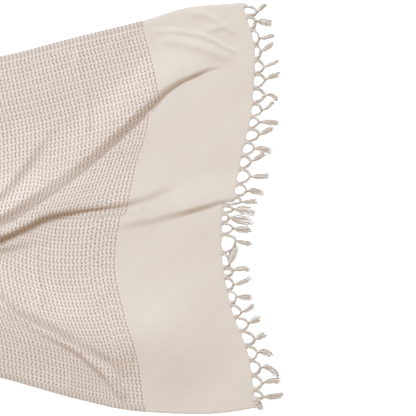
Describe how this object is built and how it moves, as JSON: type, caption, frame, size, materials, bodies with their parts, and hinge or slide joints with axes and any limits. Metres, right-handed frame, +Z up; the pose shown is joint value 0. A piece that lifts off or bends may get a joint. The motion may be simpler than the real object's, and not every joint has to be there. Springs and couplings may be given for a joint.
{
  "type": "hammam towel",
  "caption": "Woven cotton hammam towel laid out flat, drawn into soft folds at its waist, with a knotted tassel fringe on each end.",
  "frame": {"origin": "centre of the towel's bounding box, on the surface that it lies on", "axes": "+X along the towel's length towards the end whose fringe the picture shows, +Y towards the selvedge at the picture's top, +Z up"},
  "size_m": [1.821, 0.9656, 0.0542],
  "materials": {
    "woven_cloth": "soft matte cotton weave, cream with a taupe chevron",
    "fringe_yarn": "soft matte cotton yarn"
  },
  "bodies": {
    "root": {"towel_cloth": "woven_cloth", "fringe_near": "fringe_yarn", "fringe_far": "fringe_yarn"}
  },
  "joints": []
}
